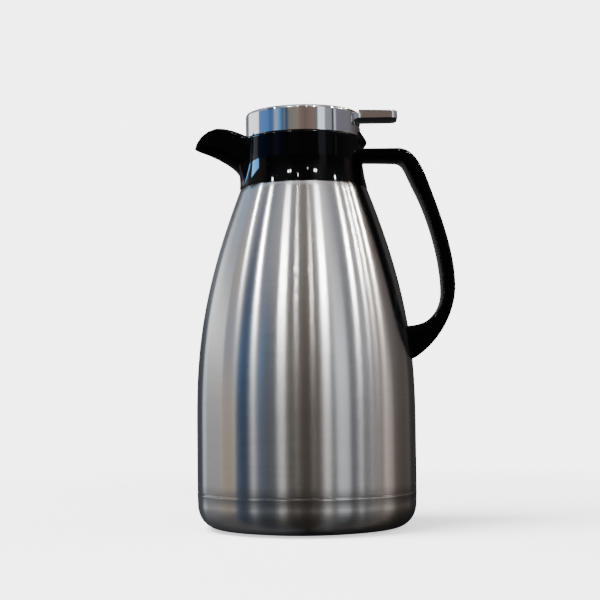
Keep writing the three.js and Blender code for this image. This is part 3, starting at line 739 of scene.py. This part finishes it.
def lever_tab():
    """Thumb tab: flat sides with soft edges, falling a little towards its tip."""
    top, low = LEVER_HIGH[2] - 0.02, 264.15
    upper, lower = 0.8, 0.45
    profile = [(inset, 2 * low - z) for inset, z in reversed(upper_edge(low, lower, 6))]
    profile += [(0, low + lower + 0.12), (0, top - upper - 0.12)]
    profile += upper_edge(top, upper, 6)
    rings = []
    for inset, z in profile:
        side = tab_outline(inset, 1.0 if z < CAP_TOP_Z - 2 else 0.0)
        rings.append([(x, -y, z) for x, y in side] + [(x, y, z) for x, y in reversed(side)])
    rings = np.array(rings)
    along = smoothstep(36, LEVER_HIGH[0], rings[:, :, 0])
    share = (rings[:, :, 2] - low) / (top - low)
    rings[:, :, 2] += along * (0.15 * (1 - share) - 0.4 * share)
    return capped_loft("lever_tab", rings, CHROME, sharp_deg=32)


def lever_arm():
    """The lever's hidden half: a hub on the pin and an arm that lifts the valve's stem."""
    hub = [
        (25.6, 266.2), (25.6, 258.6), (27.5, 257.3), (31, 257.3), (31.8, 260.4), (34.4, 262.4),
        (34.4, 266.2),
    ]
    arm = [
        (28, 261), (20, 260.6), (6, 257.2), (0.9, 256.8), (0, 257.2), (-0.9, 256.8), (-1.3, 255.9),
        (-0.9, 255), (0, 254.6), (22, 256.9), (28, 257.4),
    ]
    hub_piece = prism("lever_hub", hub, -12.6, 12.6, CHROME)
    arm_piece = prism("lever_arm", arm, -6.6, 6.6, CHROME)
    cut_with(arm_piece, block("fork", (-5, -3, 250), (5.5, 3, 262)))
    cut_with(hub_piece, y_cylinder("bore", PIN_X, PIN_Z, 1.85, 14))
    for piece in (hub_piece, arm_piece):
        bevel(piece, 0.25, 40)
    return hub_piece, arm_piece


def bracket():
    """The block under the lever, and its two ears that hold the pin."""
    piece = notch_block("bracket_block", BRACKET_LOW[2] + 0.02, 259.0, 0.3)
    tools = [turned_tool("hollow", 34.8, 255.3, 270), turned_tool("under", 36.2, 245, 253.3)]
    cut_with(piece, block("front", (0, -25, 245), (20, 25, 265)), *tools)
    for y in (9, -9):
        hole = turned_tool("hole", 1.5, 250, 260)
        hole.location = Vector((24, y, 0)) * MM
        cut_with(piece, hole)
    ear_r, half_t = 3.2, 1.1
    outline = [(26.2, 255.2), (33.8, 255.2), (PIN_X + ear_r, PIN_Z)]
    for a in np.linspace(0, math.pi, 17)[1:]:
        outline.append((PIN_X + ear_r * math.cos(a), PIN_Z + ear_r * math.sin(a)))
    ears = []
    for side in (-1, 1):
        y = side * 14.5
        ear = prism(f"bracket_ear_{side}", outline, y - half_t, y + half_t, CHROME)
        cut_with(ear, y_cylinder("pin_bore", PIN_X, PIN_Z, 1.8, 25))
        bevel(ear, 0.2, 40)
        ears.append(ear)
    return piece, ears


# ---- Inside the neck and under the lid ---------------------------------------------------------


def liner():
    gap, low, rim = 8.3, LINER_LOW[2], LINER_HIGH[2]
    r = BODY_R - gap
    neck_r, rim_r = 33.0, 35.98
    inner_r, inner_low = r - STEEL_WALL, low + STEEL_WALL
    body = [(radius - gap, z) for radius, z in BODY_CURVE]
    foot = bezier((r - 14, low), (r - 5, low), (r, low + 3.5), (r, low + 13), 12)
    inner_foot = bezier(
        (inner_r, low + 13), (inner_r, low + 4.4), (r - 5.4, inner_low), (r - 14.2, inner_low), 12,
    )
    outside = [(0, low)] + [tuple(p) for p in foot] + body
    outside += [(neck_r, 233.8), (rim_r, 233.8), (rim_r, rim)]
    inside = [(neck_r - STEEL_WALL + 0.5, rim), (neck_r - STEEL_WALL, rim - 0.5)]
    inside += [(radius - STEEL_WALL, z) for radius, z in reversed(body)]
    inside += [tuple(p) for p in inner_foot] + [(0, inner_low)]
    return lathe("steel_liner", outside + inside, LINER, 128, closed=False)


def thread_ridges(name, radius, at, low, material):
    """Three helical ridges, each a closed tube tapering at both ends."""
    steps, sides, sweep, lead = 40, 12, 1.75, 24
    made = []
    for start in range(3):
        rings = []
        for t in np.linspace(0, 1, steps + 1):
            angle = start * 2 * math.pi / 3 + t * sweep
            middle_z = low + t * sweep * lead / (2 * math.pi)
            here = radius * min(1, 0.35 + 6 * t, 0.35 + 6 * (1 - t))
            ring = []
            for turn in np.linspace(0, 2 * math.pi, sides, endpoint=False):
                r = at + here * math.cos(turn)
                ring.append((r * math.cos(angle), r * math.sin(angle), middle_z + here * math.sin(turn)))
            rings.append(ring)
        made.append(capped_loft(f"{name}_{start + 1}", rings, material))
    return made


def insert_sleeve():
    corners = [
        (30.8, 217, 0.3), (32, 217, 0.3), (32, 236.3, 0), (35.85, 236.3, 0.3), (35.85, 238, 0.4),
        (30.8, 238, 0.5),
    ]
    return lathe("insert_sleeve", rounded(corners), SATIN, 128)


def stopper():
    corners = [
        (25.4, 209.5, 0.2), (28.4, 209.5, 0.3), (28.4, 240.6, 0.6), (35.5, 240.6, 0.3), (35.5, 242.4, 0.3),
        (32.2, 242.4, 0.3), (32.2, 250.6, 0), (35.8, 250.6, 0.2), (35.8, 253, 0.2), (4.9, 253, 0),
        (4.9, 251.1, 0), (2.8, 251.1, 0), (2.8, 241.4, 0), (4.8, 241.4, 0.3), (4.8, 250.6, 0),
        (29.4, 250.6, 0), (29.4, 242.4, 0.3), (25.4, 242.4, 0.5),
    ]
    piece = lathe("stopper_shell", rounded(corners), SATIN, 120)
    for number in range(3):
        windows = block("windows", (-40, -9, 242.7), (40, 9, 250.3))
        cut_with(windows, turned_tool("middle", 6, 230, 260))
        windows.rotation_euler.z = number * math.pi / 3
        cut_with(piece, windows)
    return piece


def seal_ring():
    corners = [
        (30.7, 238.4, 0.3), (33, 238.3, 0.5), (35.2, 238.8, 0.4), (35.2, 240.1, 0.4), (30.7, 240.3, 0.3),
    ]
    return lathe("lid_seal_ring", rounded(corners), SILICONE, 128)


def seat():
    corners = [
        (13, 206.1, 0.4), (27.4, 206.1, 0.4), (28.4, 207.1, 0.3), (28.4, 209.2, 0.2), (25.1, 209.2, 0.2),
        (25.1, 210.9, 0.2), (16, 210.9, 0.3), (15, 212, 0.2), (13, 212, 0.3),
    ]
    return lathe("stopper_seat", rounded(corners), SATIN, 120)


def valve_plate():
    corners = [
        (2.7, 214.3, 0), (17, 214.3, 0.3), (17, 216.4, 0.4), (5.2, 217.3, 0.4), (5.2, 220, 0.3),
        (2.7, 220, 0),
    ]
    return lathe("valve_plate", rounded(corners), SATIN, 96)


# ---- Assembly of the visible pieces -----------------------------------------------------------

finish_piece(steel_body(), "vessel", "brushed_steel", "outer_shell")
finish_piece(steel_base(), "vessel", "brushed_steel", "base_cup")
finish_piece(foot_pad(), "vessel", "base_rubber", "base_pad")
glossy_collar = collar_with_spout()
finish_piece(glossy_collar, "vessel", "black_gloss", "spout_collar")
finish_piece(strap_handle(), "vessel", "black_gloss", "handle")
finish_piece(cap(), "lid", "chrome_plating", "chrome_cap")
finish_piece(lever_root(), "lever", "chrome_plating", "lever")
finish_piece(lever_tab(), "lever", "chrome_plating")
for piece in lever_arm():
    finish_piece(piece, "lever", "chrome_plating")
bracket_block, bracket_ears = bracket()
finish_piece(bracket_block, "lid", "chrome_plating", "lever_bracket")
for piece in bracket_ears:
    finish_piece(piece, "lid", "chrome_plating")
finish_piece(liner(), "vessel", "plain_steel", "inner_liner")
finish_piece(insert_sleeve(), "vessel", "black_plastic", "neck_insert")
for piece in thread_ridges("insert_ridge", 1.2, 30.7, 226, SATIN):
    finish_piece(piece, "vessel", "black_plastic")
finish_piece(stopper(), "lid", "black_plastic", "stopper_body")
for piece in thread_ridges("stopper_ridge", 1.5, 28.6, 222.5, SATIN):
    finish_piece(piece, "lid", "black_plastic")
finish_piece(seal_ring(), "lid_seal", "silicone", "lid_gasket")
finish_piece(seat(), "lid", "black_plastic", "valve_seat")
finish_piece(valve_plate(), "valve", "black_plastic", "valve_disc")

# ---- CAD nodes that keep their shape -----------------------------------------------------------

NODE_MATERIALS = {
    "plain_steel": PLAIN,
    "getter_metal": GETTER,
    "chrome_plating": CHROME,
    "black_gloss": BLACK,
    "black_plastic": SATIN,
    "base_rubber": RUBBER,
    "silicone": SILICONE,
    "brushed_steel": STEEL,
}

for part in frame["record"]["subparts"]:
    node = frame["nodes"][part["node"]]
    node.data.materials.clear()
    node.data.materials.append(NODE_MATERIALS[part["material_slot"]])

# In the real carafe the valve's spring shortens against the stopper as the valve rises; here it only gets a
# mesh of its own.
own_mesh(frame["nodes"]["valve_spring"])

# ---- Floor, light and camera -------------------------------------------------------------------


def studio_floor():
    n = Nodes("floor")
    cloud = n.noise(n.place(), 3.0, 2.0)
    n.set(Base_Color=n.ramp(cloud, (0.3, (0.86, 0.86, 0.86)), (0.7, (0.88, 0.88, 0.88))))
    n.set(Roughness=0.9, Specular_IOR_Level=0.1, Emission_Color=(1, 1, 1, 1), Emission_Strength=1.0)
    # It fades into the pale background from 0.25 m to 0.8 m from its middle.
    from_middle = n.node("ShaderNodeVectorMath", {0: n.place()}, operation="LENGTH").outputs["Value"]
    limits = {"Value": from_middle, "From Min": 0.25, "From Max": 0.8, "To Min": 1.0, "To Max": 0.0}
    n.set(Alpha=n.node("ShaderNodeMapRange", limits, interpolation_type="SMOOTHSTEP").outputs["Result"])
    radius, sides = 900, 64
    angles = np.linspace(0, 2 * math.pi, sides, endpoint=False)
    points = [(radius * math.cos(a), radius * math.sin(a), -0.02) for a in angles]
    floor = new_object("floor", points, [tuple(range(sides))], n.material)
    floor.visible_glossy = False
    floor.visible_diffuse = False
    return floor


def lamp(azimuth, elevation, width, height, radiance, tint=(1, 1, 1)):
    """A lamp around the carafe; azimuth 0 is the camera's side and 90 the right.

    Width and height are the angles that it fills, seen from the carafe, in degrees."""
    distance, middle_z = 3.0, 0.13
    light = bpy.data.lights.new("lamp", "AREA")
    light.shape = "RECTANGLE"
    light.size = 2 * distance * math.tan(math.radians(width / 2))
    light.size_y = 2 * distance * math.tan(math.radians(height / 2))
    light.energy = radiance * math.pi * light.size * light.size_y
    light.color = tint
    holder = bpy.data.objects.new("lamp", light)
    turn, rise = math.radians(azimuth), math.radians(elevation)
    away = Vector((math.sin(turn) * math.cos(rise), -math.cos(turn) * math.cos(rise), math.sin(rise)))
    holder.location = away * distance + Vector((0, 0, middle_z))
    holder.rotation_euler = away.to_track_quat("Z", "Y").to_euler()
    holder.visible_camera = False
    bpy.context.scene.collection.objects.link(holder)
    return holder


def light_only(holder, piece):
    """The lamp lights this piece and nothing else."""
    lit = bpy.data.collections.new("lit_" + piece.name)
    lit.objects.link(piece)
    holder.light_linking.receiver_collection = lit


def studio_lamps(glossy_piece, floor):
    """Ceiling lamps: on the brushed steel each one draws out into an upright streak."""
    white, cool, warm = (1, 1, 1), (0.86, 0.93, 1.0), (1.0, 0.92, 0.84)
    lamps = [
        # azimuth, elevation, width, height, radiance, tint
        (-94, 38, 1.5, 1.6, 560, cool),
        (-63, 34, 1.5, 1.8, 760, white),
        (-30, 33, 1.4, 1.6, 560, white),
        (-26, 33, 1.4, 1.6, 560, white),
        (-11, 36, 0.6, 1.6, 330, white),
        (8, 32, 0.7, 1.4, 240, warm),
        (21.5, 33, 1.4, 1.6, 560, white),
        (25, 33, 1.4, 1.6, 560, white),
        (64, 33, 1.5, 1.6, 800, white),
        (80, 33, 1.0, 1.6, 640, white),
        (90, 33, 1.0, 1.6, 640, warm),
        (102, 31, 1.4, 1.8, 600, warm),
    ]
    for values in lamps:
        lamp(*values)
    # A far blue window that only the glossy collar shows.
    window = lamp(-107, 20, 19, 6.5, 34, (0.14, 0.5, 1.0))
    light_only(window, glossy_piece)
    # A soft light from the upper left gives the carafe its shadow on the floor.
    light_only(lamp(-65, 58, 34, 34, 36), floor)


class WorldNodes(Nodes):
    """Short names for building the world's node tree."""

    def __init__(self, name):
        self.world = bpy.data.worlds.new(name)
        self.world.use_nodes = True
        self.tree = self.world.node_tree
        self.tree.nodes.clear()

    def share_between(self, value, low, high):
        inputs = {"Value": value, "From Min": low, "From Max": high}
        return self.node("ShaderNodeMapRange", inputs).outputs["Result"]

    def combine(self, operation, a, b):
        return self.node("ShaderNodeVectorMath", {0: a, 1: b}, operation=operation).outputs[0]

    def sky(self, turn, stops):
        """Colours round the carafe, from (azimuth in degrees, colour) stops."""
        return self.ramp(turn, *(((degrees + 180) / 360, colour) for degrees, colour in stops))


# What the carafe mirrors, as (azimuth in degrees, colour) stops, at four heights.
LID_SKY = [
    (-180, (0.16, 0.18, 0.21)), (-141, (0.22, 0.24, 0.28)), (-138, (1.7, 1.75, 1.8)),
    (-101, (1.6, 1.62, 1.65)), (-98, (0.11, 0.27, 0.66)), (-76, (0.10, 0.23, 0.53)),
    (-67, (0.065, 0.15, 0.35)), (-61, (0.12, 0.21, 0.38)), (-58, (0.37, 0.43, 0.54)),
    (-53, (0.37, 0.43, 0.56)), (-50, (0.15, 0.37, 0.80)), (-45, (0.08, 0.24, 0.50)),
    (-41, (0.09, 0.12, 0.17)), (-37, (0.12, 0.20, 0.33)), (-33, (0.05, 0.06, 0.085)),
    (-28, (0.20, 0.19, 0.18)), (-12, (0.26, 0.22, 0.18)), (-4, (0.20, 0.15, 0.13)),
    (4, (0.165, 0.125, 0.105)), (18, (0.23, 0.165, 0.14)), (28, (0.19, 0.18, 0.18)),
    (31, (1.15, 1.3, 1.5)), (42, (1.1, 1.25, 1.45)), (45, (0.32, 0.34, 0.38)), (58, (0.28, 0.30, 0.34)),
    (61, (0.035, 0.025, 0.035)), (63, (0.035, 0.025, 0.035)), (65, (0.8, 0.85, 1.0)),
    (70, (0.19, 0.18, 0.22)), (105, (0.19, 0.175, 0.2)), (125, (0.09, 0.08, 0.08)),
    (160, (0.04, 0.04, 0.04)),
]
LEVEL_SKY = [
    (-180, (0.12, 0.12, 0.13)), (-150, (0.06, 0.065, 0.08)), (-140, (0.09, 0.10, 0.12)),
    (-137, (0.62, 0.68, 0.78)), (-130, (0.60, 0.66, 0.76)), (-127, (0.36, 0.36, 0.35)),
    (-103, (0.35, 0.34, 0.33)), (-98, (0.56, 0.46, 0.30)), (-80, (0.52, 0.43, 0.28)),
    (-77, (0.02, 0.035, 0.06)), (-64, (0.02, 0.035, 0.06)), (-60, (0.12, 0.13, 0.15)),
    (-36, (0.12, 0.125, 0.13)), (-8, (0.085, 0.072, 0.06)), (2, (0.055, 0.045, 0.038)),
    (31, (0.13, 0.13, 0.135)), (33, (0.95, 0.95, 0.96)), (44, (0.85, 0.87, 0.92)),
    (47, (0.15, 0.15, 0.16)), (57, (0.13, 0.14, 0.165)), (68, (0.17, 0.165, 0.165)),
    (84, (0.2, 0.18, 0.165)), (91, (0.55, 0.48, 0.42)), (99, (0.50, 0.43, 0.37)),
    (104, (0.17, 0.145, 0.13)), (113, (0.12, 0.10, 0.09)), (124, (0.11, 0.09, 0.08)),
    (133, (0.13, 0.115, 0.105)), (141, (0.045, 0.04, 0.04)), (165, (0.04, 0.04, 0.04)),
]
HIGH_SKY = [
    (-180, (0.20, 0.22, 0.25)), (-154, (0.02, 0.02, 0.03)), (-143, (0.03, 0.035, 0.045)),
    (-137, (0.28, 0.58, 1.05)), (-119, (0.27, 0.50, 0.85)), (-110, (0.42, 0.43, 0.45)),
    (-82, (0.36, 0.36, 0.38)), (-77, (0.12, 0.14, 0.19)), (-65, (0.13, 0.15, 0.20)),
    (-50, (0.42, 0.43, 0.46)), (-36, (0.42, 0.42, 0.43)), (-20, (0.26, 0.24, 0.23)),
    (-4, (0.22, 0.20, 0.185)), (12, (0.22, 0.2, 0.185)), (25, (0.8, 0.8, 0.81)), (32, (1.1, 1.1, 1.12)),
    (40, (0.7, 0.7, 0.72)), (47, (0.36, 0.37, 0.40)), (56, (0.28, 0.30, 0.34)), (68, (0.34, 0.32, 0.32)),
    (100, (0.36, 0.32, 0.30)), (112, (0.15, 0.13, 0.11)), (128, (0.07, 0.06, 0.055)),
    (145, (0.035, 0.03, 0.03)), (168, (0.04, 0.04, 0.04)),
]
LOW_SKY = [
    (-180, (0.015, 0.015, 0.018)), (-140, (0.10, 0.105, 0.12)), (-120, (0.17, 0.17, 0.18)),
    (-92, (0.15, 0.15, 0.155)), (-78, (0.045, 0.06, 0.085)), (-50, (0.05, 0.055, 0.065)),
    (-20, (0.035, 0.03, 0.025)), (10, (0.03, 0.025, 0.02)), (28, (0.09, 0.09, 0.09)),
    (42, (0.11, 0.115, 0.12)), (52, (0.05, 0.05, 0.055)), (70, (0.07, 0.065, 0.06)),
    (96, (0.13, 0.11, 0.10)), (112, (0.04, 0.035, 0.03)), (140, (0.02, 0.02, 0.02)),
    (165, (0.015, 0.015, 0.018)),
]


def studio_world():
    n = WorldNodes("studio")
    split = n.node("ShaderNodeSeparateXYZ", {0: n.node("ShaderNodeTexCoord").outputs["Generated"]}).outputs
    azimuth = n.math("ARCTAN2", split["X"], n.math("MULTIPLY", split["Y"], -1.0))
    turn = n.share_between(azimuth, -math.pi, math.pi)
    height = n.share_between(split["Z"], -1.0, 1.0)

    def band(*stops):
        """How much one sky counts at each height, from (elevation in degrees, amount) stops."""
        places = [(math.sin(math.radians(rise)) + 1) / 2 for rise, _ in stops]
        return n.ramp(height, *((place, (amount,) * 3) for place, (_, amount) in zip(places, stops)))

    skies = (
        (LOW_SKY, band((-30, 0.5), (-10, 1), (-4, 0))),
        (LEVEL_SKY, band((-10, 0), (-4, 1), (7, 1), (8.5, 0), (15, 0), (17, 1), (22, 1), (32, 0))),
        (LID_SKY, band((7, 0), (8.5, 1), (15, 1), (17, 0))),
        (HIGH_SKY, band((22, 0), (32, 1), (60, 1.1), (75, 2.6))),
    )
    parts = [n.combine("MULTIPLY", n.sky(turn, stops), amount) for stops, amount in skies]
    total = parts[0]
    for part in parts[1:]:
        total = n.combine("ADD", total, part)
    lit = n.node("ShaderNodeBackground", {"Color": total, "Strength": 1.0})
    pale = n.node("ShaderNodeBackground", {"Color": (1, 1, 1, 1), "Strength": 5.0})
    seen = n.node("ShaderNodeLightPath").outputs["Is Camera Ray"]
    mixed = n.node("ShaderNodeMixShader", {0: seen, 1: lit.outputs[0], 2: pale.outputs[0]})
    n.node("ShaderNodeOutputWorld", {0: mixed.outputs[0]})
    bpy.context.scene.world = n.world


def studio_camera():
    camera = bpy.data.cameras.new("camera")
    camera.sensor_width = 36
    camera.lens = 81.83
    camera.clip_start = 0.01
    holder = bpy.data.objects.new("camera", camera)
    look = Euler((math.radians(90 + 3.78), 0, math.radians(0.21)), "XYZ").to_matrix()
    roll = Matrix.Rotation(math.radians(-0.63), 3, "Z")
    holder.matrix_world = Matrix.Translation((0, -0.8858, 0.0885)) @ (look @ roll).to_4x4()
    bpy.context.scene.collection.objects.link(holder)
    bpy.context.scene.camera = holder


studio_lamps(glossy_collar, studio_floor())
studio_world()
studio_camera()
